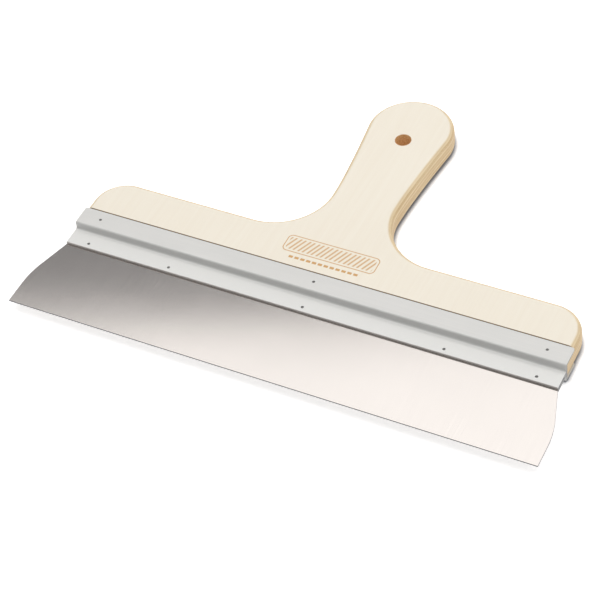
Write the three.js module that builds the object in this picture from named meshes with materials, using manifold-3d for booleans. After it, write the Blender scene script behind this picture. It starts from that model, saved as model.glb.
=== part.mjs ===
// Wide taping knife: a plywood board handle, an extruded aluminium clamp profile and a thin steel blade.
// Millimetres, +Z up. The knife lies flat on its back: the blade edge points to -Y, the handle to +Y.
import * as THREE from 'three';
import { mergeVertices } from 'three/addons/utils/BufferGeometryUtils.js';
import Module from 'manifold-3d';

const wasm = await Module();
wasm.setup();

// Handle board. Every y is measured from the front lip of the profile.
const BOARD_THICKNESS = 15;
const PLY_COUNT = 11;
const BOARD_HALF_WIDTH = 165;
const BOARD_FRONT_Y = 15.2;
const SHOULDER_Y = 57;
const SHOULDER_CORNER_RADIUS = 21;
const FILLET_RADIUS = 37;
const NECK_HALF_WIDTH = 22.7;
const NECK_Y = SHOULDER_Y + FILLET_RADIUS;
const HEAD_RADIUS = 28.5;
const HEAD_Y = 164;
const HEAD_FLARE = THREE.MathUtils.degToRad(7);
const EDGE_ROUNDING = 4;
const HANG_HOLE_RADIUS = 5.25;
const HANG_HOLE_Y = 153;

// Clamp profile.
const PROFILE_LENGTH = 331;
const FLANGE_TOP_Y = 27.3;
const STEP_Y = 13.2;
const STEP_WALL = 1.6;
const STEP_ROUNDING = 1.1;
const JAW_THICKNESS = 1.6;
const BLADE_SLOT = 1;
const BLADE_SLOT_DEPTH = 10.5;
const FLANGE_CORNER_RADIUS = 1.5;

// Blade.
const BLADE_THICKNESS = 0.8;
const BLADE_REACH = 55.3;
const BLADE_HALF_WIDTH = 175;
const BLADE_ROOT_Y = 10.2;
const FLARE_START_Y = -21.4;
const FLARE_START_HALF_WIDTH = 172.2;
const FLARE_CONTROL_Y = -30.6;
const FLARE_END_Y = -40.3;

// Pins: three through flange and wood, five through jaw and blade.
const PIN_RADIUS = 0.8;
const PIN_GAP = 0.3;
const PIN_RECESS = 0.3;
const PIN_SEGMENTS = 12;
const HANDLE_PIN_Y = 20.4;
const HANDLE_PIN_X = [-151, 0, 151];
const BLADE_RIVET_Y = 3.5;
const BLADE_RIVET_X = [-151, -93, 0, 93, 151];

// Worked out from the sizes above.
const PLY_THICKNESS = BOARD_THICKNESS / PLY_COUNT;
const MIDDLE_Z = BOARD_THICKNESS / 2;
const JAW_HALF_HEIGHT = JAW_THICKNESS + BLADE_SLOT / 2;
const REBATE_GAP = 0.3;
const BOARD_TOP_Y = HEAD_Y + HEAD_RADIUS;
const CENTRE_Y = (BOARD_TOP_Y - BLADE_REACH) / 2;
const REACH_PAST = 10;

const CURVE_SEGMENTS = 8;
const HOLE_SEGMENTS = 24;
const EDGE_ROUNDING_STEPS = 3;
const CORNER_SEGMENTS = 4;

const COLOURS = {
  faceVeneer: 0xf2eada,
  longVeneer: 0xe0cba9,
  crossVeneer: 0xc9b28c,
  aluminium: 0xd9dad6,
  stainless: 0xcfcac4,
  pinSteel: 0x8d8d8b,
};

function makeMaterial(name, colour, roughness, metalness) {
  const material = new THREE.MeshStandardMaterial({ color: colour, roughness, metalness });
  material.name = name;
  return material;
}

const faceVeneer = () => makeMaterial('face_veneer', COLOURS.faceVeneer, 0.62, 0);
const longVeneer = () => makeMaterial('long_veneer', COLOURS.longVeneer, 0.75, 0);
const crossVeneer = () => makeMaterial('cross_veneer', COLOURS.crossVeneer, 0.8, 0);
const satinAluminium = () => makeMaterial('satin_aluminium', COLOURS.aluminium, 0.42, 1);
const stainlessSteel = () => makeMaterial('stainless_steel', COLOURS.stainless, 0.25, 1);
const pinSteel = () => makeMaterial('pin_steel', COLOURS.pinSteel, 0.4, 1);

function namedMesh(name, geometry, material) {
  const mesh = new THREE.Mesh(geometry, material);
  mesh.name = name;
  return mesh;
}

function toSolid(geometry) {
  const plain = geometry.clone();
  plain.deleteAttribute('normal');
  plain.deleteAttribute('uv');
  const merged = mergeVertices(plain);
  const mesh = new wasm.Mesh({
    numProp: 3,
    vertProperties: new Float32Array(merged.attributes.position.array),
    triVerts: new Uint32Array(merged.index.array),
  });
  return new wasm.Manifold(mesh);
}

function toGeometry(solid) {
  const mesh = solid.getMesh();
  const geometry = new THREE.BufferGeometry();
  geometry.setAttribute('position', new THREE.BufferAttribute(mesh.vertProperties, 3));
  geometry.setIndex(new THREE.BufferAttribute(mesh.triVerts, 1));
  geometry.computeVertexNormals();
  return geometry;
}

function box(xRange, yRange, zRange) {
  const size = [xRange, yRange, zRange].map(([low, high]) => high - low);
  const middle = [xRange, yRange, zRange].map(([low, high]) => (low + high) / 2);
  return toSolid(new THREE.BoxGeometry(...size).translate(...middle));
}

function uprightCylinder(radius, x, y, bottomZ, topZ, segments) {
  const geometry = new THREE.CylinderGeometry(radius, radius, topZ - bottomZ, segments);
  return geometry.rotateX(Math.PI / 2).translate(x, y, (bottomZ + topZ) / 2);
}

function drill(solid, radius, x, y, segments) {
  const drillBit = uprightCylinder(radius, x, y, -REACH_PAST, BOARD_THICKNESS + REACH_PAST, segments);
  return solid.subtract(toSolid(drillBit));
}

// One side of the handle is a gentle curve from the neck to where the round head begins.
function boardShape() {
  const flareX = HEAD_RADIUS * Math.cos(HEAD_FLARE);
  const flareY = HEAD_Y - HEAD_RADIUS * Math.sin(HEAD_FLARE);
  const controlY = flareY - (flareX - NECK_HALF_WIDTH) / Math.tan(HEAD_FLARE);
  const filletX = NECK_HALF_WIDTH + FILLET_RADIUS;
  const cornerX = BOARD_HALF_WIDTH - SHOULDER_CORNER_RADIUS;
  const cornerY = SHOULDER_Y - SHOULDER_CORNER_RADIUS;
  const shape = new THREE.Shape();
  shape.moveTo(-BOARD_HALF_WIDTH, BOARD_FRONT_Y);
  shape.lineTo(BOARD_HALF_WIDTH, BOARD_FRONT_Y);
  shape.absarc(cornerX, cornerY, SHOULDER_CORNER_RADIUS, 0, Math.PI / 2, false);
  shape.absarc(filletX, NECK_Y, FILLET_RADIUS, -Math.PI / 2, -Math.PI, true);
  shape.quadraticCurveTo(NECK_HALF_WIDTH, controlY, flareX, flareY);
  shape.absarc(0, HEAD_Y, HEAD_RADIUS, -HEAD_FLARE, Math.PI + HEAD_FLARE, false);
  shape.quadraticCurveTo(-NECK_HALF_WIDTH, controlY, -NECK_HALF_WIDTH, NECK_Y);
  shape.absarc(-filletX, NECK_Y, FILLET_RADIUS, 0, -Math.PI / 2, true);
  shape.absarc(-cornerX, cornerY, SHOULDER_CORNER_RADIUS, Math.PI / 2, Math.PI, false);
  return shape;
}

function boardSolid() {
  const geometry = new THREE.ExtrudeGeometry(boardShape(), {
    depth: BOARD_THICKNESS - 2 * EDGE_ROUNDING,
    curveSegments: CURVE_SEGMENTS,
    bevelThickness: EDGE_ROUNDING,
    bevelSize: EDGE_ROUNDING,
    bevelOffset: -EDGE_ROUNDING,
    bevelSegments: EDGE_ROUNDING_STEPS,
  });
  geometry.translate(0, 0, EDGE_ROUNDING);
  let board = drill(toSolid(geometry), HANG_HOLE_RADIUS, 0, HANG_HOLE_Y, HOLE_SEGMENTS);
  for (const x of HANDLE_PIN_X) {
    board = drill(board, PIN_RADIUS + PIN_GAP, x, HANDLE_PIN_Y, PIN_SEGMENTS);
  }
  return board;
}

// The board is sliced into its veneers. The two face veneers stop at the flanges, which lie flush in them.
function handlePlies() {
  const board = boardSolid();
  const across = [-BOARD_HALF_WIDTH - REACH_PAST, BOARD_HALF_WIDTH + REACH_PAST];
  const plies = [];
  for (let index = 0; index < PLY_COUNT; index += 1) {
    const isBack = index === 0;
    const isFront = index === PLY_COUNT - 1;
    const isFace = isBack || isFront;
    const startY = isFace ? FLANGE_TOP_Y + REBATE_GAP : BOARD_FRONT_Y - REACH_PAST;
    const bottomZ = isBack ? -REACH_PAST : index * PLY_THICKNESS;
    const topZ = isFront ? BOARD_THICKNESS + REACH_PAST : (index + 1) * PLY_THICKNESS;
    const slab = box(across, [startY, BOARD_TOP_Y + REACH_PAST], [bottomZ, topZ]);
    const crossGrain = index % 2 === 1;
    const veneer = crossGrain ? crossVeneer() : longVeneer();
    const number = String(index + 1).padStart(2, '0');
    const geometry = toGeometry(board.intersect(slab));
    plies.push(namedMesh(`handle_ply_${number}`, geometry, isFace ? faceVeneer() : veneer));
  }
  return plies;
}

// Section of the front half, from the middle plane outwards: u runs along y, v is the height over the middle.
function halfSectionPoints() {
  const flangeInner = MIDDLE_Z - PLY_THICKNESS;
  const wallInnerY = STEP_Y + STEP_WALL;
  const round = STEP_ROUNDING;
  return [
    [BLADE_SLOT_DEPTH, BLADE_SLOT / 2],
    [0, BLADE_SLOT / 2],
    [0, JAW_HALF_HEIGHT],
    [STEP_Y - round, JAW_HALF_HEIGHT],
    [STEP_Y, JAW_HALF_HEIGHT + round],
    [STEP_Y, MIDDLE_Z - round],
    [STEP_Y + round, MIDDLE_Z],
    [FLANGE_TOP_Y, MIDDLE_Z],
    [FLANGE_TOP_Y, flangeInner],
    [wallInnerY, flangeInner],
  ];
}

function profileSection() {
  const upper = halfSectionPoints();
  const lower = upper.map(([y, height]) => [y, -height]).reverse();
  const points = [...upper, ...lower].map(([y, height]) => new THREE.Vector2(y, height));
  return new THREE.Shape(points);
}

// Rounds the four flange corners as seen from above.
function profileOutline() {
  const halfLength = PROFILE_LENGTH / 2;
  const radius = FLANGE_CORNER_RADIUS;
  const shape = new THREE.Shape();
  shape.moveTo(-halfLength, 0);
  shape.lineTo(halfLength, 0);
  shape.absarc(halfLength - radius, FLANGE_TOP_Y - radius, radius, 0, Math.PI / 2, false);
  shape.absarc(-halfLength + radius, FLANGE_TOP_Y - radius, radius, Math.PI / 2, Math.PI, false);
  return shape;
}

function clampProfile() {
  const extrusion = new THREE.ExtrudeGeometry(profileSection(), { depth: PROFILE_LENGTH, bevelEnabled: false });
  // The section is drawn in XY and pulled along Z, so it is turned to lie along X.
  const turn = new THREE.Matrix4().makeBasis(
    new THREE.Vector3(0, 1, 0),
    new THREE.Vector3(0, 0, 1),
    new THREE.Vector3(1, 0, 0),
  );
  extrusion.applyMatrix4(turn).translate(-PROFILE_LENGTH / 2, 0, MIDDLE_Z);
  const plan = new THREE.ExtrudeGeometry(profileOutline(), {
    depth: BOARD_THICKNESS + 2 * REACH_PAST,
    curveSegments: CORNER_SEGMENTS,
    bevelEnabled: false,
  });
  plan.translate(0, 0, -REACH_PAST);
  let solid = toSolid(extrusion).intersect(toSolid(plan));
  for (const x of HANDLE_PIN_X) {
    solid = drill(solid, PIN_RADIUS + PIN_GAP, x, HANDLE_PIN_Y, PIN_SEGMENTS);
  }
  for (const x of BLADE_RIVET_X) {
    solid = drill(solid, PIN_RADIUS + PIN_GAP, x, BLADE_RIVET_Y, PIN_SEGMENTS);
  }
  return namedMesh('clamp_profile', toGeometry(solid), satinAluminium());
}

// The blade is as wide as the profile at its root and flares out to its full width before the edge.
function bladeShape() {
  const rootHalfWidth = PROFILE_LENGTH / 2;
  const shape = new THREE.Shape();
  shape.moveTo(-rootHalfWidth, BLADE_ROOT_Y);
  shape.lineTo(-rootHalfWidth, 0);
  shape.lineTo(-FLARE_START_HALF_WIDTH, FLARE_START_Y);
  shape.quadraticCurveTo(-BLADE_HALF_WIDTH, FLARE_CONTROL_Y, -BLADE_HALF_WIDTH, FLARE_END_Y);
  shape.lineTo(-BLADE_HALF_WIDTH, -BLADE_REACH);
  shape.lineTo(BLADE_HALF_WIDTH, -BLADE_REACH);
  shape.lineTo(BLADE_HALF_WIDTH, FLARE_END_Y);
  shape.quadraticCurveTo(BLADE_HALF_WIDTH, FLARE_CONTROL_Y, FLARE_START_HALF_WIDTH, FLARE_START_Y);
  shape.lineTo(rootHalfWidth, 0);
  shape.lineTo(rootHalfWidth, BLADE_ROOT_Y);
  return shape;
}

function blade() {
  const geometry = new THREE.ExtrudeGeometry(bladeShape(), {
    depth: BLADE_THICKNESS,
    curveSegments: CURVE_SEGMENTS,
    bevelEnabled: false,
  });
  geometry.translate(0, 0, MIDDLE_Z - BLADE_THICKNESS / 2);
  let solid = toSolid(geometry);
  for (const x of BLADE_RIVET_X) {
    solid = drill(solid, PIN_RADIUS + PIN_GAP, x, BLADE_RIVET_Y, PIN_SEGMENTS);
  }
  return namedMesh('blade', toGeometry(solid), stainlessSteel());
}

function pin(name, x, y, halfHeight) {
  const bottomZ = MIDDLE_Z - halfHeight + PIN_RECESS;
  const topZ = MIDDLE_Z + halfHeight - PIN_RECESS;
  const geometry = uprightCylinder(PIN_RADIUS, 0, 0, bottomZ, topZ, PIN_SEGMENTS);
  const mesh = namedMesh(name, geometry, pinSteel());
  mesh.position.set(x, y, 0);
  return mesh;
}

function handlePins() {
  return HANDLE_PIN_X.map((x, index) => pin(`handle_pin_${index + 1}`, x, HANDLE_PIN_Y, MIDDLE_Z));
}

function bladeRivets() {
  return BLADE_RIVET_X.map((x, index) => pin(`blade_rivet_${index + 1}`, x, BLADE_RIVET_Y, JAW_HALF_HEIGHT));
}

const knife = new THREE.Group();
knife.position.y = -CENTRE_Y;
knife.add(...handlePlies(), clampProfile(), blade(), ...handlePins(), ...bladeRivets());

const model = new THREE.Group();
model.add(knife);

export default model;
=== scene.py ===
"""Looks of the wide taping knife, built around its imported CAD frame. Metres, +Z up."""

import math

import bpy
from mathutils import Matrix, Vector
from mathutils.geometry import tessellate_polygon


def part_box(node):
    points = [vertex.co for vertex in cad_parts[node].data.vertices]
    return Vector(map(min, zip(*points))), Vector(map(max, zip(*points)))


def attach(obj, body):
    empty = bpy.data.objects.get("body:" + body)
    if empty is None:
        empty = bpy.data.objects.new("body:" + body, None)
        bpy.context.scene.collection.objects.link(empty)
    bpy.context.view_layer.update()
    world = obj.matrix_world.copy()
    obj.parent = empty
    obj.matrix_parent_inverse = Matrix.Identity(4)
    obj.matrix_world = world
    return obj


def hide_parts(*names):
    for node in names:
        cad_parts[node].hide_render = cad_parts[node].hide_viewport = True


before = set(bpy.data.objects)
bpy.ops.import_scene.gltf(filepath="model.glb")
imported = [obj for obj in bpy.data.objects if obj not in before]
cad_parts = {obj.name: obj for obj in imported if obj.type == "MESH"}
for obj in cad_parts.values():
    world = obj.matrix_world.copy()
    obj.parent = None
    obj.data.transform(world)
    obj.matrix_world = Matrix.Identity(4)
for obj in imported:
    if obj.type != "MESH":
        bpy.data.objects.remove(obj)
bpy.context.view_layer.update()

# ---------------------------------------------------------------- sizes, in millimetres
# y is measured from the front lip of the profile, as in the CAD source.
MM = 0.001
SAME_PLACE = 1e-4
LIP_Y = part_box("clamp_profile")[0].y / MM
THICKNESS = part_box("handle_ply_11")[1].z / MM
PLY_COUNT = 11
PLY = THICKNESS / PLY_COUNT
MIDDLE = THICKNESS / 2

BOARD_HALF_WIDTH = 165
BOARD_FRONT = 15.2  # the inner veneers start here, inside the profile
SHOULDER = 57
SHOULDER_RADIUS = 21
FILLET_RADIUS = 37
NECK_HALF_WIDTH = 22.7
NECK = SHOULDER + FILLET_RADIUS
HEAD_RADIUS = 28.5
HEAD = 164
HEAD_FLARE = 7
EDGE_ROUNDING = 4
HANG_HOLE_RADIUS = 5.25
HANG_HOLE = 153
HANG_HOLE_CHAMFER = 0.12
HANG_HOLE_STEPS = 48
REBATE = 27.7  # the face veneers start here, behind the flange
LEVEL_GAP = 0.02  # no level of the rounded edge is closer to a veneer's own face

PROFILE_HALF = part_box("clamp_profile")[1].x / MM
FLANGE_TOP = 27.3
STEP = 13.2
STEP_WALL = 1.6
STEP_ROUNDING = 1.5
LIP_ROUNDING = 0.3
EDGE_BREAK = 0.2
JAW_HALF = 2.1
JAW_TOP = MIDDLE + JAW_HALF
SLOT_HALF = 0.5
SLOT_DEPTH = 10.5
FLANGE_CORNER = 1.5
END_BEVEL = 0.15
SAME_HEIGHT = 1e-6
BROAD_FACE = 5  # a flat side of the section wider than this is a flange or a jaw

BLADE_HALF_THICKNESS = 0.4
BLADE_REACH = 55.3
BLADE_HALF_WIDTH = 175
BLADE_ROOT = 10.2
BLADE_BEVEL = 0.12
BLADE_TIP_RADIUS = 0.3
# The end's flare is a curve with a start, a control point and an end.
FLARE_START = (172.2, -21.4)
FLARE_PULL = (BLADE_HALF_WIDTH, -30.6)
FLARE_END = (BLADE_HALF_WIDTH, -40.3)

HOLE_RADIUS = 0.95
HOLE_STEPS = 16
PROFILE_HOLE_STEPS = 20
PIN_RADIUS = 0.8
PIN_RECESS = 0.3
PIN_STEPS = 24
PIN_DISH = 0.08
PIN_DISH_SHARE = 0.45  # of the pin's radius
PIN_DULLING = 0.15
HANDLE_PINS = [(x, 20.4) for x in (-151, 0, 151)]
BLADE_RIVETS = [(x, 3.5) for x in (-151, -93, 0, 93, 151)]

# The mark: a rounded frame filled with slanting bars, over a dashed rule.
STAMP_Y = 45
STAMP_FACING = (0.9, 0.95)
FRAME_SIZE = (31, 6.5, 3)  # half width, half height, corner radius
FRAME_LINE = 0.3
LINE_BLUR = 0.08
BAR_PITCH = 6.2
BAR_SLANT = -0.45
BAR_HALF = 0.27  # as a share of the pitch, like the next one
BAR_LINE = 0.09
BAR_MARGIN = (-1.7, -1.5)
RULE_DROP = 10.5
RULE_SIZE = (24, 0.9, 0.4)
RULE_BLUR = 0.1
DASH_PITCH = 4
DASH_END = (0.68, 0.74)  # as shares of the pitch

# ---------------------------------------------------------------- camera, in metres
CAMERA_PLACE = Vector((0.43898, -0.75232, 0.89926))
CAMERA_LOOK = Vector((-0.36803, 0.57189, -0.73314))
CAMERA_UP = Vector((-0.26272, 0.69239, 0.67199))
CAMERA_LENS = 121.62  # millimetres, like the next one
SENSOR_WIDTH = 36
NEAREST, FARTHEST = 0.01, 100


def make_camera():
    data = bpy.data.cameras.new("camera")
    data.lens = CAMERA_LENS
    data.sensor_width = SENSOR_WIDTH
    data.clip_start = NEAREST
    data.clip_end = FARTHEST
    camera = bpy.data.objects.new("camera", data)
    right = CAMERA_LOOK.cross(CAMERA_UP).normalized()
    up = right.cross(CAMERA_LOOK).normalized()
    turn = Matrix((right, up, -CAMERA_LOOK.normalized())).transposed()
    camera.matrix_world = Matrix.Translation(CAMERA_PLACE) @ turn.to_4x4()
    bpy.context.scene.collection.objects.link(camera)
    bpy.context.scene.camera = camera


make_camera()


# ---------------------------------------------------------------- outlines
# An outline is a list of corners (x, y, inset_x, inset_y, normal_x, normal_y), counter-clockwise.
def arc(centre, radius, start, end, steps, side=1):
    corners = []
    for i in range(steps + 1):
        angle = math.radians(start + (end - start) * i / steps)
        nx, ny = side * math.cos(angle), side * math.sin(angle)
        x = centre[0] + radius * math.cos(angle)
        y = centre[1] + radius * math.sin(angle)
        corners.append((x, y, nx, ny, nx, ny))
    return corners


def bend(start, control, end, steps):
    """A quadratic curve, with the outside on its right."""
    corners = []
    for i in range(steps + 1):
        t = i / steps
        a, b, c = (1 - t) ** 2, 2 * t * (1 - t), t * t
        x = a * start[0] + b * control[0] + c * end[0]
        y = a * start[1] + b * control[1] + c * end[1]
        dx = (1 - t) * (control[0] - start[0]) + t * (end[0] - control[0])
        dy = (1 - t) * (control[1] - start[1]) + t * (end[1] - control[1])
        size = math.hypot(dx, dy)
        nx, ny = dy / size, -dx / size
        corners.append((x, y, nx, ny, nx, ny))
    return corners


def mirrored(corners):
    return [(-x, y, -ix, iy, -nx, ny) for x, y, ix, iy, nx, ny in reversed(corners)]


def board_outline(front):
    """The T-shaped board. Its front edge is hidden in the profile and stays square."""
    flare_x = HEAD_RADIUS * math.cos(math.radians(HEAD_FLARE))
    flare_y = HEAD - HEAD_RADIUS * math.sin(math.radians(HEAD_FLARE))
    control_y = flare_y - (flare_x - NECK_HALF_WIDTH) / math.tan(math.radians(HEAD_FLARE))
    corner = (BOARD_HALF_WIDTH - SHOULDER_RADIUS, SHOULDER - SHOULDER_RADIUS)
    fillet = (NECK_HALF_WIDTH + FILLET_RADIUS, NECK)
    right = [(BOARD_HALF_WIDTH, front, 1, 0, 0, -1), (BOARD_HALF_WIDTH, front, 1, 0, 1, 0)]
    right += arc(corner, SHOULDER_RADIUS, 0, 90, 24)
    right += arc(fillet, FILLET_RADIUS, 270, 180, 28, side=-1)
    neck, control = (NECK_HALF_WIDTH, NECK), (NECK_HALF_WIDTH, control_y)
    right += bend(neck, control, (flare_x, flare_y), 20)[1:]
    right += arc((0, HEAD), HEAD_RADIUS, -HEAD_FLARE, 90, 36)[1:]
    return right + mirrored(right)[1:]


def rounded_polygon(points, radii, steps=6):
    """Corners with their own radius; radius 0 keeps a sharp corner."""
    count = len(points)
    corners = []
    for i, (radius, point) in enumerate(zip(radii, points)):
        here = Vector(point)
        before = (here - Vector(points[i - 1])).normalized()
        after = (Vector(points[(i + 1) % count]) - here).normalized()
        n1 = Vector((before.y, -before.x))
        n2 = Vector((after.y, -after.x))
        mitre = (n1 + n2) / (1 + n1.dot(n2))
        if radius == 0:
            corners.append((*here, *mitre, *n1))
            corners.append((*here, *mitre, *n2))
            continue
        turn = math.atan2(before.x * after.y - before.y * after.x, before.dot(after))
        side = 1 if turn > 0 else -1
        centre = here - mitre * radius * side
        for step in range(steps + 1):
            share = turn * step / steps
            c, s = math.cos(share), math.sin(share)
            normal = Vector((n1.x * c - n1.y * s, n1.x * s + n1.y * c))
            place = centre + normal * radius * side
            corners.append((*place, *normal, *normal))
    return corners


# ---------------------------------------------------------------- mesh building
class MeshMaker:
    """Collects vertices, faces and normals in millimetres, and makes one object of them."""

    def __init__(self):
        self.vertices = []
        self.lookup = {}
        self.faces = []
        self.normals = []

    def vertex(self, x, y, z):
        key = (round(x, 4), round(y, 4), round(z, 4))
        if key not in self.lookup:
            self.lookup[key] = len(self.vertices)
            self.vertices.append((x, y, z))
        return self.lookup[key]

    def face(self, places, normals):
        loop = [self.vertex(*place) for place in places]
        kept, kept_normals = [], []
        for index, normal in zip(loop, normals):
            if index not in kept:
                kept.append(index)
                kept_normals.append(normal)
        if len(kept) > 2:
            self.faces.append(kept)
            self.normals += kept_normals

    def flat(self, rings, normal):
        """Fills a flat region: the first ring is its outside, the others are holes in it."""
        places = [place for ring in rings for place in ring]
        origin = Vector(places[0])
        across = Vector(normal).orthogonal().normalized()
        along = Vector(normal).cross(across)

        def flattened(place):
            offset = Vector(place) - origin
            return Vector((offset.dot(across), offset.dot(along), 0))

        for triangle in tessellate_polygon([[flattened(p) for p in ring] for ring in rings]):
            a, b, c = (Vector(places[i]) for i in triangle)
            upward = (b - a).cross(c - a).dot(Vector(normal)) > 0
            order = triangle if upward else tuple(reversed(triangle))
            self.face([places[i] for i in order], [normal] * 3)

    def make(self, name, material):
        mesh = bpy.data.meshes.new(name)
        places = [(x * MM, (y + LIP_Y) * MM, z * MM) for x, y, z in self.vertices]
        mesh.from_pydata(places, [], self.faces)
        mesh.shade_smooth()
        mesh.normals_split_custom_set(self.normals)
        mesh.materials.append(material)
        piece = bpy.data.objects.new(name, mesh)
        bpy.context.scene.collection.objects.link(piece)
        return piece


def directions(steps):
    """The cosine and sine of every step round a circle."""
    turn = 2 * math.pi / steps
    return [(math.cos(i * turn), math.sin(i * turn)) for i in range(steps)]


def circle(x, y, z, radius, steps):
    return [(x + radius * cos, y + radius * sin, z) for cos, sin in directions(steps)]


def hole_wall(maker, x, y, rings, steps):
    """rings: (z, radius) from low to high."""
    inward = [(-cos, -sin, 0) for cos, sin in directions(steps)]
    for (z1, r1), (z2, r2) in zip(rings, rings[1:]):
        low, high = circle(x, y, z1, r1, steps), circle(x, y, z2, r2, steps)
        for i in range(steps):
            j = (i + 1) % steps
            corners = [low[j], low[i], high[i], high[j]]
            maker.face(corners, [inward[j], inward[i], inward[i], inward[j]])


def plate(maker, outline, levels, holes, hole_growth):
    """A flat body.

    levels: (z, inset, tilt of the side in radians) from low to high.
    holes: (x, y, radius, steps). hole_growth: what is added to their radius at a height z.
    """

    def ring(level):
        z, inset, _ = level
        return [(x - ix * inset, y - iy * inset, z) for x, y, ix, iy, _, _ in outline]

    def ring_normals(level):
        flat, rise = math.cos(level[2]), math.sin(level[2])
        return [(nx * flat, ny * flat, rise) for _, _, _, _, nx, ny in outline]

    count = len(outline)
    for low, high in zip(levels, levels[1:]):
        low_ring, high_ring = ring(low), ring(high)
        low_normals, high_normals = ring_normals(low), ring_normals(high)
        for i in range(count):
            j = (i + 1) % count
            corners = [low_ring[i], low_ring[j], high_ring[j], high_ring[i]]
            maker.face(corners, [low_normals[i], low_normals[j], high_normals[j], high_normals[i]])
    for x, y, radius, steps in holes:
        hole_wall(maker, x, y, [(z, radius + hole_growth(z)) for z, _, _ in levels], steps)
    for level, normal in ((levels[0], (0, 0, -1)), (levels[-1], (0, 0, 1))):
        z = level[0]
        rings = [without_repeats(ring(level))]
        rings += [circle(x, y, z, radius + hole_growth(z), steps) for x, y, radius, steps in holes]
        maker.flat(rings, normal)


def without_repeats(ring):
    def apart(a, b):
        return (Vector(a) - Vector(b)).length > SAME_PLACE

    kept = []
    for place in ring:
        if not kept or apart(place, kept[-1]):
            kept.append(place)
    if not apart(kept[0], kept[-1]):
        kept.pop()
    return kept


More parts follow.
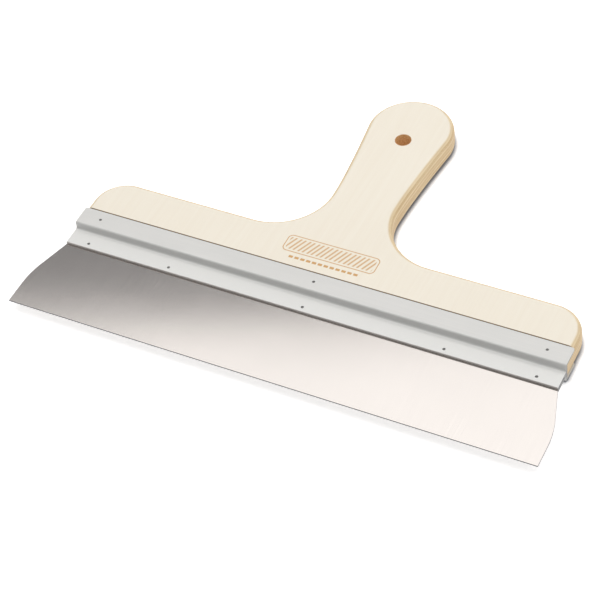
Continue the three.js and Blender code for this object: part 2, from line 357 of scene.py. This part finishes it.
# ---------------------------------------------------------------- materials
class Shader:
    """Adds nodes to one new material. Any input takes a number, a colour or a node's output."""

    def __init__(self, name):
        self.material = bpy.data.materials.new(name)
        self.material.use_nodes = True
        self.tree = self.material.node_tree
        self.tree.nodes.clear()
        output = self.tree.nodes.new("ShaderNodeOutputMaterial")
        self.surface = self.tree.nodes.new("ShaderNodeBsdfPrincipled")
        self.tree.links.new(self.surface.outputs["BSDF"], output.inputs["Surface"])
        self.place = self.tree.nodes.new("ShaderNodeTexCoord").outputs["Object"]
        self.face_x, self.face_y = self.axis("X"), self.axis("Y")
        self.parts = {}

    def node(self, kind, inputs, **settings):
        made = self.tree.nodes.new(kind)
        for name, value in settings.items():
            setattr(made, name, value)
        for key, value in inputs.items():
            if isinstance(value, bpy.types.NodeSocket):
                self.tree.links.new(value, made.inputs[key])
            else:
                made.inputs[key].default_value = value
        return made

    def set(self, **values):
        for name, value in values.items():
            socket = self.surface.inputs[name.replace("_", " ")]
            if isinstance(value, bpy.types.NodeSocket):
                self.tree.links.new(value, socket)
            else:
                socket.default_value = value

    def stretched(self, x, y, z):
        """The place on the piece in millimetres, times a factor each way."""
        inputs = {"Vector": self.place, "Scale": (x / MM, y / MM, z / MM)}
        return self.node("ShaderNodeMapping", inputs).outputs["Vector"]

    def noise(self, vector, scale=1.0, detail=3.0, rough=0.5, distortion=0.0):
        inputs = {"Vector": vector, "Scale": scale, "Detail": detail}
        inputs.update({"Roughness": rough, "Distortion": distortion})
        return self.node("ShaderNodeTexNoise", inputs).outputs["Fac"]

    def math(self, operation, a, b=0.0):
        return self.node("ShaderNodeMath", {0: a, 1: b}, operation=operation).outputs["Value"]

    def vector_math(self, operation, a, b):
        return self.node("ShaderNodeVectorMath", {0: a, 1: b}, operation=operation).outputs

    def spread(self, value, low, high, to_low=0.0, to_high=1.0):
        inputs = {"Value": value, "From Min": low, "From Max": high}
        inputs.update({"To Min": to_low, "To Max": to_high})
        return self.node("ShaderNodeMapRange", inputs, clamp=True).outputs["Result"]

    def blend(self, share, first, second):
        """Inputs 0, 6 and 7 and output 2 are the ones that a colour mix uses."""
        inputs = {0: share, 6: first, 7: second}
        made = self.node("ShaderNodeMix", inputs, data_type="RGBA", clamp_factor=True)
        return made.outputs[2]

    def sum(self, *terms):
        """Adds outputs, each with its weight: (output, weight), ..."""
        total = None
        for value, weight in terms:
            term = value if weight == 1 else self.math("MULTIPLY", value, weight)
            total = term if total is None else self.math("ADD", total, term)
        return total

    def bump(self, height, distance, strength=1.0):
        inputs = {"Height": height, "Distance": distance * MM, "Strength": strength}
        self.set(Normal=self.node("ShaderNodeBump", inputs).outputs["Normal"])

    def axis(self, name):
        return self.node("ShaderNodeSeparateXYZ", {"Vector": self.place}).outputs[name]

    def from_hang_hole(self):
        """Distance from the wall of the hang hole, in metres."""
        centre = (0, (HANG_HOLE + LIP_Y) * MM, 0)
        level = self.vector_math("MULTIPLY", self.place, (1, 1, 0))["Vector"]
        away = self.vector_math("DISTANCE", level, centre)["Value"]
        return self.math("SUBTRACT", away, HANG_HOLE_RADIUS * MM)

    def frame_distance(self, middle_y, half_width, half_height, radius):
        """Signed distance from a rounded rectangle on the face, in millimetres."""
        x = self.math("MULTIPLY", self.math("ABSOLUTE", self.face_x), 1 / MM)
        y = self.math("MULTIPLY", self.face_y, 1 / MM)
        y = self.math("ABSOLUTE", self.math("SUBTRACT", y, middle_y + LIP_Y))
        x = self.math("SUBTRACT", x, half_width - radius)
        y = self.math("SUBTRACT", y, half_height - radius)
        squares = [self.math("POWER", self.math("MAXIMUM", way, 0), 2) for way in (x, y)]
        square = self.math("ADD", *squares)
        inner = self.math("MINIMUM", self.math("MAXIMUM", x, y), 0)
        distance = self.math("ADD", self.math("SQRT", square), inner)
        return self.math("SUBTRACT", distance, radius)

    def line(self, distance, half_width):
        """1 on a thin line where the distance is nought."""
        away = self.math("ABSOLUTE", distance)
        return self.spread(away, half_width - LINE_BLUR, half_width + LINE_BLUR, 1, 0)

    def stamp(self):
        """A plain burned-in mark: a rounded frame filled with slanting bars over a dashed rule."""
        rim_distance = self.frame_distance(STAMP_Y, *FRAME_SIZE)
        rim = self.line(rim_distance, FRAME_LINE)
        slant = self.sum((self.face_x, 1), (self.face_y, BAR_SLANT))
        cycle = self.math("FRACT", self.math("MULTIPLY", slant, 1 / (BAR_PITCH * MM)))
        from_bar = self.math("ABSOLUTE", self.math("SUBTRACT", cycle, 0.5))
        bars = self.line(self.math("SUBTRACT", from_bar, BAR_HALF), BAR_LINE)
        bars = self.math("MULTIPLY", bars, self.spread(rim_distance, *BAR_MARGIN, 1, 0))
        rule_distance = self.frame_distance(STAMP_Y - RULE_DROP, *RULE_SIZE)
        rule = self.spread(rule_distance, -RULE_BLUR, RULE_BLUR, 1, 0)
        dashes = self.math("FRACT", self.math("MULTIPLY", self.face_x, 1 / (DASH_PITCH * MM)))
        rule = self.math("MULTIPLY", rule, self.spread(dashes, *DASH_END, 1, 0))
        mark = self.math("MAXIMUM", self.math("MAXIMUM", rim, bars), rule)
        return self.math("MULTIPLY", mark, self.spread(self.facing("Z"), *STAMP_FACING))

    def facing(self, name):
        """How far the surface faces along an axis, 0 to 1."""
        normal = self.node("ShaderNodeNewGeometry", {}).outputs["Normal"]
        part = self.node("ShaderNodeSeparateXYZ", {"Vector": normal}).outputs[name]
        return self.math("ABSOLUTE", part)


def colour(red, green, blue):
    """Linear colour from 0-255 display values."""

    def linear(value):
        value /= 255
        return value / 12.92 if value <= 0.04045 else ((value + 0.055) / 1.055) ** 2.4

    return (linear(red), linear(green), linear(blue), 1.0)


GLUE_CORE = 0.03 * MM
GLUE_REACH = 0.14 * MM
# Glue in the joints, and also painted shade in the gap behind the flange.
GLUE_AND_GAP_SHADE_BROWN = colour(96, 70, 44)
GLUE_SHARE = 0.12
STREAK_SHARE = 0.55
END_GRAIN_SHARE = 0.12
# Painted light in the hang hole: a wall brighter than the wood, and a faint glow.
LIT_HOLE_WALL = colour(244, 211, 160)
HOLE_TORN = colour(198, 150, 98)
HOLE_PAINTED_GLOW = colour(255, 205, 150)
HOLE_PAINTED_GLOW_STRENGTH = 0.05
HOLE_RIM = (0.05 * MM, 0.25 * MM)
STAMP_BROWN = colour(205, 150, 66)
STAMP_SHARE = 0.85
# Painted shade: a brown strip on the face veneer along the flange's back edge.
FLANGE_SHADE_BROWN = colour(132, 104, 76)
FLANGE_SHADE_REACH = (0.1, 0.45)  # behind the flange, in millimetres
FACE_LIGHT = colour(246, 239, 224)
FACE_DARK = colour(242, 233, 216)
EDGE_LIGHT = colour(228, 208, 172)
EDGE_DARK = colour(206, 182, 142)
EDGE_END = colour(192, 162, 120)

ALUMINIUM = (colour(217, 217, 214), colour(225, 224, 221))
# Painted light: the jaws are lighter than the flanges.
JAW_LIT_ALUMINIUM = colour(231, 231, 228)
# Painted shade: the walls are darker than the flanges.
WALL_SHADE_ALUMINIUM = colour(194, 194, 192)
# Painted shade: the lip's front face is a darker, warmer grey.
LIP_SHADE_ALUMINIUM = colour(192, 187, 183)
SAWN_ALUMINIUM = colour(128, 128, 128)
STEEL = (colour(205, 200, 196), colour(214, 209, 205))
# Painted shade on the blade's rim.
RIM_SHADE_STEEL = colour(84, 86, 90)
PIN_STEEL = (colour(112, 112, 112), colour(150, 149, 145))


def veneer(name, along, light, dark, end_grain, seed):
    """Birch veneer with its grain along X or Y, and darker end grain where it is cut across.

    seed is the veneer's number in the board, and shifts its pattern.
    """
    shader = Shader(name)
    height = shader.axis("Z")
    bottom, top = (seed - 1) * PLY * MM, seed * PLY * MM
    glue_low = shader.spread(height, bottom + GLUE_CORE, bottom + GLUE_REACH, 1, 0)
    glue_high = shader.spread(height, top - GLUE_REACH, top - GLUE_CORE, 0, 1)
    glue = shader.math("MAXIMUM", glue_low, glue_high)
    hole = shader.from_hang_hole()
    shift = seed * 0.37
    shader.place = shader.vector_math("ADD", shader.place, (shift, shift * 0.7, 0))["Vector"]
    lengthways = (0.012, 0.35, 1.6) if along == "X" else (0.35, 0.012, 1.6)
    fine = (0.05, 3.0, 4.0) if along == "X" else (3.0, 0.05, 4.0)
    growth = shader.noise(shader.stretched(*lengthways), detail=4, rough=0.55, distortion=0.6)
    fibres = shader.noise(shader.stretched(*fine), detail=5, rough=0.65)
    cloud = shader.noise(shader.stretched(0.02, 0.015, 0.1), detail=2)
    tone = shader.sum((growth, 0.5), (fibres, 0.25), (cloud, 0.25))
    surface = shader.blend(shader.spread(tone, 0.4, 0.75), light, dark)
    flecks = shader.noise(shader.stretched(*[v * 1.3 for v in fine]), scale=0.8, detail=1)
    surface = shader.blend(shader.spread(flecks, 0.68, 0.78, 0.0, 0.3), surface, dark)
    pores = shader.noise(shader.stretched(2.2, 2.2, 2.2), detail=3, rough=0.7)
    cut = shader.blend(shader.spread(pores, 0.35, 0.7), light, end_grain)
    cut = shader.blend(END_GRAIN_SHARE, cut, end_grain)
    wood = shader.blend(shader.spread(shader.facing(along), 0.25, 0.85), surface, cut)
    shader.parts = {"glue": glue, "hole": hole, "tone": tone}
    shader.set(Roughness=0.58, Specular_IOR_Level=0.3)
    shader.bump(shader.sum((fibres, 1), (pores, 0.5)), 0.05, 0.35)
    return shader, wood


def finish_wood(shader, wood, outer=False):
    """Adds glue beside the joints, brown streaks on inner plies, painted shade on the inner plies'
    flat faces in the gap behind the flange, and painted light in the hang hole.
    """
    if outer:
        share = shader.spread(shader.facing("Z"), 0.3, 0.9, GLUE_SHARE, 0)
        glue_and_gap_shade = shader.math("MULTIPLY", shader.parts["glue"], share)
    else:
        streak = shader.noise(shader.stretched(0.03, 0.02, 0.3), detail=2)
        wood = shader.blend(shader.spread(streak, 0.42, 0.62, 0, STREAK_SHARE), wood, EDGE_END)
        # Painted shade: the inner plies' flat faces, seen only in the gap behind the flange, take
        # the glue brown.
        level = shader.spread(shader.facing("Z"), 0.86, 0.95)
        glue_and_gap_shade = shader.math("MULTIPLY", shader.parts["glue"], GLUE_SHARE)
        glue_and_gap_shade = shader.math("MAXIMUM", glue_and_gap_shade, level)
    wood = shader.blend(glue_and_gap_shade, wood, GLUE_AND_GAP_SHADE_BROWN)
    inside = shader.spread(shader.parts["hole"], *HOLE_RIM, 1, 0)
    torn = shader.noise(shader.stretched(0.9, 0.9, 2.5), detail=4, rough=0.6)
    # Painted light: the hang hole's wall is brightened and glows faintly, standing in for the light
    # bouncing inside it.
    wall = shader.blend(shader.spread(torn, 0.35, 0.65), LIT_HOLE_WALL, HOLE_TORN)
    shader.set(Base_Color=shader.blend(inside, wood, wall), Emission_Color=HOLE_PAINTED_GLOW)
    shader.set(Emission_Strength=shader.math("MULTIPLY", inside, HOLE_PAINTED_GLOW_STRENGTH))
    return shader.material


def face_veneer(name, seed, stamped):
    """An outer veneer: cream on its flat face, tan where the rounded edge cuts down through it."""
    shader, wood = veneer(name, "Y", FACE_LIGHT, FACE_DARK, EDGE_DARK, seed)
    edge = shader.blend(shader.spread(shader.parts["tone"], 0.4, 0.7), EDGE_LIGHT, EDGE_DARK)
    wood = shader.blend(shader.spread(shader.facing("Z"), 0.88, 0.985, 1, 0), wood, edge)
    # Painted shade: the face veneer turns brown just behind the flange's edge, where the flange
    # shades it.
    near, far = ((REBATE + LIP_Y + reach) * MM for reach in FLANGE_SHADE_REACH)
    wood = shader.blend(shader.spread(shader.face_y, near, far, 1, 0), wood, FLANGE_SHADE_BROWN)
    if stamped:
        wood = shader.blend(shader.math("MULTIPLY", shader.stamp(), STAMP_SHARE), wood, STAMP_BROWN)
    return finish_wood(shader, wood, outer=True)


def satin_aluminium():
    """Anodised and mostly matt. The jaws carry painted light, lighter than the faces; the walls and
    the lip's front carry painted shade, darker than the faces. The sawn ends are dull.
    """
    shader = Shader("satin_aluminium_drawn")
    lines = shader.noise(shader.stretched(0.004, 5, 5), detail=5, rough=0.6)
    haze = shader.noise(shader.stretched(0.03, 0.12, 0.12), detail=3)
    scuffs = shader.noise(shader.stretched(0.15, 1.4, 1.4), detail=6, rough=0.7)
    tone = shader.sum((lines, 0.7), (haze, 0.3))
    base = shader.blend(shader.spread(tone, 0.35, 0.65), *ALUMINIUM)
    # Painted light: everything near the jaws' height, the jaws' faces most, is lighter, making up
    # for the light the step walls shut out.
    from_middle = shader.math("ABSOLUTE", shader.math("SUBTRACT", shader.axis("Z"), MIDDLE * MM))
    jaw = shader.spread(from_middle, (JAW_HALF + 0.1) * MM, (JAW_HALF + 1) * MM, 1, 0)
    base = shader.blend(jaw, base, JAW_LIT_ALUMINIUM)
    # Painted shade: the faces that look along Y, chiefly the step walls, are darker.
    base = shader.blend(shader.spread(shader.facing("Y"), 0.3, 0.95), base, WALL_SHADE_ALUMINIUM)
    # Painted shade: the lip's front face is darker, with a warmer grey.
    lip = shader.spread(shader.axis("Y"), (LIP_Y + 0.1) * MM, (LIP_Y + 0.4) * MM, 1, 0)
    base = shader.blend(lip, base, LIP_SHADE_ALUMINIUM)
    base = shader.blend(shader.spread(shader.facing("X"), 0.6, 0.9), base, SAWN_ALUMINIUM)
    rough = shader.spread(scuffs, 0.35, 0.7, 0.42, 0.52)
    shader.set(Base_Color=base, Metallic=0.2, Roughness=rough)
    shader.bump(lines, 0.02, 0.3)
    return shader.material


def brushed_steel():
    shader = Shader("brushed_stainless")
    lines = shader.noise(shader.stretched(6, 0.02, 1), detail=5, rough=0.65)
    haze = shader.noise(shader.stretched(0.02, 0.03, 0.1), detail=2)
    base = shader.blend(shader.spread(lines, 0.3, 0.7), *STEEL)
    fine_rough = shader.spread(lines, 0.3, 0.7, 0.1, 0.12)
    broad_rough = shader.spread(haze, 0.3, 0.7, 0, 0.015)
    # Painted shade: the blade's bevels and edge faces are dark grey, for the shade along its edge;
    # they are also rougher.
    cut = shader.spread(shader.facing("Z"), 0.85, 0.97, 1, 0)
    base = shader.blend(cut, base, RIM_SHADE_STEEL)
    rough = shader.sum((fine_rough, 1), (broad_rough, 1), (cut, 0.35))
    shader.set(Base_Color=base, Metallic=1.0, Roughness=rough)
    shader.bump(lines, 0.01, 0.2)
    return shader.material


def dark_pin_steel():
    shader = Shader("dark_pin_steel")
    grain = shader.noise(shader.stretched(4, 4, 4), detail=4)
    base = shader.blend(shader.spread(grain, 0.3, 0.7), *PIN_STEEL)
    rough = shader.spread(grain, 0.3, 0.7, 0.5, 0.7)
    shader.set(Base_Color=base, Metallic=0.6, Roughness=rough)
    shader.bump(grain, 0.03, 0.4)
    return shader.material


# ---------------------------------------------------------------- handle plies
def side_of_board(z):
    """(inset, tilt) of the rounded side at height z."""
    if z > THICKNESS - EDGE_ROUNDING:
        rise = (z - THICKNESS + EDGE_ROUNDING) / EDGE_ROUNDING
    elif z < EDGE_ROUNDING:
        rise = (z - EDGE_ROUNDING) / EDGE_ROUNDING
    else:
        rise = 0
    tilt = math.asin(max(-1, min(1, rise)))
    return EDGE_ROUNDING * (1 - math.cos(tilt)), tilt


def ply_levels(bottom, top):
    """The veneer's faces, a level at every 5 degrees of the rounded edge, and the chamfer's end."""
    heights = {bottom, top}
    for degrees in range(5, 90, 5):
        reach = EDGE_ROUNDING * math.sin(math.radians(degrees))
        for z in (EDGE_ROUNDING - reach, THICKNESS - EDGE_ROUNDING + reach):
            if bottom + LEVEL_GAP < z < top - LEVEL_GAP:
                heights.add(z)
    for z in (HANG_HOLE_CHAMFER, THICKNESS - HANG_HOLE_CHAMFER):
        if bottom < z < top:
            heights.add(z)
    return [(z, *side_of_board(z)) for z in sorted(heights)]


def hang_hole_growth(z):
    """The chamfer at the board's two faces. It doesn't reach the inner veneers' pin holes."""
    return max(0, HANG_HOLE_CHAMFER - min(z, THICKNESS - z))


def mixed(first, second, share):
    return tuple(a + (b - a) * share for a, b in zip(first, second))


def make_plies():
    for index in range(PLY_COUNT):
        number = index + 1
        node = f"handle_ply_{number:02d}"
        is_face = number in (1, PLY_COUNT)
        crosswise = index % 2 == 1
        along = "X" if crosswise else "Y"
        # Painted shade, partly the plies' own tone: the middle plies get darker edges, for the
        # shade on the middle of the board's side.
        centre = 1 - abs(2 * index / (PLY_COUNT - 1) - 1)
        holes = [(0, HANG_HOLE, HANG_HOLE_RADIUS, HANG_HOLE_STEPS)]
        if is_face:
            outline = board_outline(REBATE)
            material = face_veneer(f"birch_face_{number:02d}", number, number == PLY_COUNT)
        else:
            outline = board_outline(BOARD_FRONT)
            holes += [(x, y, HOLE_RADIUS, HOLE_STEPS) for x, y in HANDLE_PINS]
            light = mixed(EDGE_LIGHT, EDGE_DARK, 0.6 * centre)
            dark = mixed(EDGE_LIGHT, EDGE_DARK, 0.4 + 0.6 * centre)
            name = f"birch_ply_{number:02d}"
            material = finish_wood(*veneer(name, along, light, dark, EDGE_END, number))
        maker = MeshMaker()
        plate(maker, outline, ply_levels(index * PLY, number * PLY), holes, hang_hole_growth)
        piece = maker.make(f"veneer_{number:02d}", material)
        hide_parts(node)
        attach(piece, "root")


make_plies()


# ---------------------------------------------------------------- clamp profile
def profile_section():
    """The section in (y, z) with its edges a little rounded, and the outside on its right."""
    upper = [
        (SLOT_DEPTH, SLOT_HALF, 0),
        (0, SLOT_HALF, EDGE_BREAK),
        (0, JAW_HALF, LIP_ROUNDING),
        (STEP, JAW_HALF, STEP_ROUNDING),
        (STEP, MIDDLE, STEP_ROUNDING),
        (FLANGE_TOP, MIDDLE, EDGE_BREAK),
        (FLANGE_TOP, MIDDLE - PLY, 0),
        (STEP + STEP_WALL, MIDDLE - PLY, EDGE_BREAK),
    ]
    lower = [(y, -v, radius) for y, v, radius in reversed(upper)]
    points = list(reversed(upper + lower))
    return rounded_polygon([(y, v + MIDDLE) for y, v, _ in points], [r for _, _, r in points])


def make_profile(material):
    section = profile_section()
    count = len(section)
    radius = FLANGE_CORNER
    inner = PROFILE_HALF - radius
    arc_steps = [inner + radius * math.sin(math.radians(a)) for a in range(0, 90, 15)]
    half = sorted(set(arc_steps + [PROFILE_HALF - END_BEVEL]))
    stations = [-x for x in reversed(half)] + half

    def tip(x):
        """How far back the flange reaches, which is less at its rounded corners."""
        past = max(0, abs(x) - inner)
        return FLANGE_TOP - radius + math.sqrt(max(0, radius * radius - past * past))

    def place(x, corner, inset=0.0):
        y, z, iy, iz, _, _ = corner
        return (x, min(y - iy * inset, tip(x)), z - iz * inset)

    def normal(x, corner):
        y, z, _, _, ny, nz = corner
        past = max(0, abs(x) - inner) / radius
        at_back_edge = ny > 0.5 and y > FLANGE_TOP - 0.5
        if at_back_edge:
            sideways = math.copysign(past, x)
            return (sideways * ny, math.sqrt(1 - past * past) * ny, nz)
        return (0, ny, nz)

    maker = MeshMaker()
    sides = [(section[i], section[(i + 1) % count]) for i in range(count)]
    for first, second in sides:
        (y1, z1), (y2, z2) = first[:2], second[:2]
        if abs(z1 - z2) < SAME_HEIGHT and abs(y1 - y2) > BROAD_FACE:
            pins = HANDLE_PINS if min(y1, y2) > STEP else BLADE_RIVETS
            ring = [place(x, first) for x in stations]
            ring += [place(x, second) for x in reversed(stations)]
            holes = [circle(x, y, z1, HOLE_RADIUS, PROFILE_HOLE_STEPS) for x, y in pins]
            maker.flat([without_repeats(ring)] + holes, (0, 0, 1 if first[5] > 0 else -1))
            continue
        for x1, x2 in zip(stations, stations[1:]):
            ends = [(x1, first), (x1, second), (x2, second), (x2, first)]
            maker.face([place(*end) for end in ends], [normal(*end) for end in ends])
    for side in (-1, 1):
        edge, end = side * (PROFILE_HALF - END_BEVEL), side * PROFILE_HALF
        for first, second in sides:
            rim = [place(edge, first), place(end, first, END_BEVEL)]
            rim += [place(end, second, END_BEVEL), place(edge, second)]
            slope = [
                Vector((side, corner[4], corner[5])).normalized()
                for corner in (first, first, second, second)
            ]
            if side > 0:
                rim.reverse()
                slope.reverse()
            maker.face(rim, slope)
        cap = without_repeats([place(end, corner, END_BEVEL) for corner in section])
        maker.flat([cap], (side, 0, 0))
    walls = [
        (HANDLE_PINS, THICKNESS - PLY, THICKNESS),
        (HANDLE_PINS, 0, PLY),
        (BLADE_RIVETS, MIDDLE + SLOT_HALF, JAW_TOP),
        (BLADE_RIVETS, THICKNESS - JAW_TOP, MIDDLE - SLOT_HALF),
    ]
    for pins, low, high in walls:
        for x, y in pins:
            hole_wall(maker, x, y, [(low, HOLE_RADIUS), (high, HOLE_RADIUS)], PROFILE_HOLE_STEPS)
    piece = maker.make("clamp_extrusion", material)
    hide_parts("clamp_profile")
    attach(piece, "root")


make_profile(satin_aluminium())


# ---------------------------------------------------------------- blade
def blade_outline():
    flare = bend(FLARE_START, FLARE_PULL, FLARE_END, 14)
    half = [(BLADE_HALF_WIDTH, -BLADE_REACH)]
    half += [(x, y) for x, y, *_ in reversed(flare)]
    half += [(PROFILE_HALF, 0), (PROFILE_HALF, BLADE_ROOT)]
    points = half + [(-x, y) for x, y in reversed(half)]
    radii = [BLADE_TIP_RADIUS] + [0] * (len(points) - 2) + [BLADE_TIP_RADIUS]
    return rounded_polygon(points, radii)


def make_blade(material):
    half, bevel = BLADE_HALF_THICKNESS, BLADE_BEVEL
    levels = [
        (MIDDLE - half, bevel, -math.radians(75)),
        (MIDDLE - half + bevel, 0, -math.radians(15)),
        (MIDDLE + half - bevel, 0, math.radians(15)),
        (MIDDLE + half, bevel, math.radians(75)),
    ]
    maker = MeshMaker()
    holes = [(x, y, HOLE_RADIUS, HOLE_STEPS) for x, y in BLADE_RIVETS]
    plate(maker, blade_outline(), levels, holes, lambda z: 0)
    piece = maker.make("blade_plate", material)
    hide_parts("blade")
    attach(piece, "root")


make_blade(brushed_steel())


# ---------------------------------------------------------------- pins and rivets
def make_pin(name, node, x, y, bottom, top, material):
    """A short rod with dulled ends, dished a little by the punch that set it."""
    profile = [
        (PIN_RADIUS * PIN_DISH_SHARE, top - PIN_DISH),
        (PIN_RADIUS - PIN_DULLING, top),
        (PIN_RADIUS, top - PIN_DULLING),
    ]
    profile += [(radius, bottom + top - z) for radius, z in reversed(profile)]
    maker = MeshMaker()

    def normals(k):
        r1, z1 = profile[max(0, k - 1)]
        r2, z2 = profile[min(len(profile) - 1, k + 1)]
        across, up = z1 - z2, r2 - r1
        size = math.hypot(across, up)
        ways = directions(PIN_STEPS)
        return [(cos * across / size, sin * across / size, up / size) for cos, sin in ways]

    for k in range(len(profile) - 1):
        high = circle(x, y, profile[k][1], profile[k][0], PIN_STEPS)
        low = circle(x, y, profile[k + 1][1], profile[k + 1][0], PIN_STEPS)
        n_high, n_low = normals(k), normals(k + 1)
        for i in range(PIN_STEPS):
            j = (i + 1) % PIN_STEPS
            corners = [low[i], low[j], high[j], high[i]]
            maker.face(corners, [n_low[i], n_low[j], n_high[j], n_high[i]])
    for radius, z, up in ((*profile[0], 1), (*profile[-1], -1)):
        maker.flat([circle(x, y, z, radius, PIN_STEPS)], (0, 0, up))
    piece = maker.make(name, material)
    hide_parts(node)
    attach(piece, "root")


def make_pins(material):
    low, high = PIN_RECESS, THICKNESS - PIN_RECESS
    for number, (x, y) in enumerate(HANDLE_PINS, 1):
        make_pin(f"flange_pin_{number}", f"handle_pin_{number}", x, y, low, high, material)
    low, high = THICKNESS - JAW_TOP + PIN_RECESS, JAW_TOP - PIN_RECESS
    for number, (x, y) in enumerate(BLADE_RIVETS, 1):
        make_pin(f"jaw_rivet_{number}", f"blade_rivet_{number}", x, y, low, high, material)


make_pins(dark_pin_steel())


# ---------------------------------------------------------------- floor and light
FLOOR_HALF = 12  # metres
FLOOR_DROP = 0.3 * MM
FLOOR_PALE = ((0.82, 0.82, 0.82, 1), (0.84, 0.84, 0.84, 1))
FLOOR_GLOW = 0.52
CONTACT_REACH = 4 * MM
CONTACT_SHADOW_GREY = colour(150, 152, 160)
HORIZON = (0.05, (0.9, 0.9, 0.9, 1))
ZENITH = (0.6, (0.3, 0.3, 0.305, 1))


def make_floor():
    """A glowing pale floor with a painted contact shadow: greyer and dimmer close to the knife,
    where the surroundings are shut out.
    """
    mesh = bpy.data.meshes.new("floor")
    half = FLOOR_HALF
    corners = [(-half, -half), (half, -half), (half, half), (-half, half)]
    mesh.from_pydata([(x, y, -FLOOR_DROP) for x, y in corners], [], [(0, 1, 2, 3)])
    shader = Shader("pale_floor")
    cloud = shader.noise(shader.stretched(0.002, 0.002, 0.002), detail=2)
    # Painted contact shadow: where occlusion is found, the floor turns grey and its glow drops.
    contact_shadow = shader.node("ShaderNodeAmbientOcclusion", {"Distance": CONTACT_REACH}, samples=16)
    open_share = shader.spread(contact_shadow.outputs["AO"], 0.45, 0.95)
    pale = shader.blend(cloud, *FLOOR_PALE)
    shader.set(Base_Color=shader.blend(open_share, CONTACT_SHADOW_GREY, pale), Roughness=0.9)
    glow = shader.math("MULTIPLY", open_share, FLOOR_GLOW)
    shader.set(Emission_Color=(1, 1, 1, 1), Emission_Strength=glow)
    mesh.materials.append(shader.material)
    floor = bpy.data.objects.new("floor", mesh)
    bpy.context.scene.collection.objects.link(floor)


def ceiling_light(name, middle, height, width, depth, turn, power, tint=(1, 1, 1)):
    """A level softbox that shines straight down. turn is in degrees, power in watts."""
    data = bpy.data.lights.new(name, "AREA")
    data.shape = "RECTANGLE"
    data.size = width
    data.size_y = depth
    data.energy = power
    data.color = tint
    light = bpy.data.objects.new(name, data)
    light.location = (*middle, height)
    light.rotation_euler = (0, 0, math.radians(turn))
    bpy.context.scene.collection.objects.link(light)
    return light


def make_world():
    world = bpy.data.worlds.new("studio")
    bpy.context.scene.world = world
    world.use_nodes = True
    tree = world.node_tree
    tree.nodes.clear()
    output = tree.nodes.new("ShaderNodeOutputWorld")
    background = tree.nodes.new("ShaderNodeBackground")
    ramp = tree.nodes.new("ShaderNodeValToRGB")
    split = tree.nodes.new("ShaderNodeSeparateXYZ")
    place = tree.nodes.new("ShaderNodeTexCoord")
    tree.links.new(place.outputs["Generated"], split.inputs["Vector"])
    tree.links.new(split.outputs["Z"], ramp.inputs["Fac"])
    tree.links.new(ramp.outputs["Color"], background.inputs["Color"])
    tree.links.new(background.outputs["Background"], output.inputs["Surface"])
    for stop, (position, shade) in zip(ramp.color_ramp.elements, (HORIZON, ZENITH)):
        stop.position = position
        stop.color = shade


make_floor()
make_world()
ceiling_light(
    "softbox",
    middle=(0.699, 0.855),
    height=2.0,
    width=5.0,
    depth=2.3,
    turn=21,
    power=45,
    tint=(1, 0.985, 0.97),
)
fill = ceiling_light("fill", middle=(0, 0.1), height=2.2, width=1.0, depth=1.0, turn=0, power=6.1)
fill.visible_glossy = False
bpy.context.scene.view_settings.view_transform = "Standard"
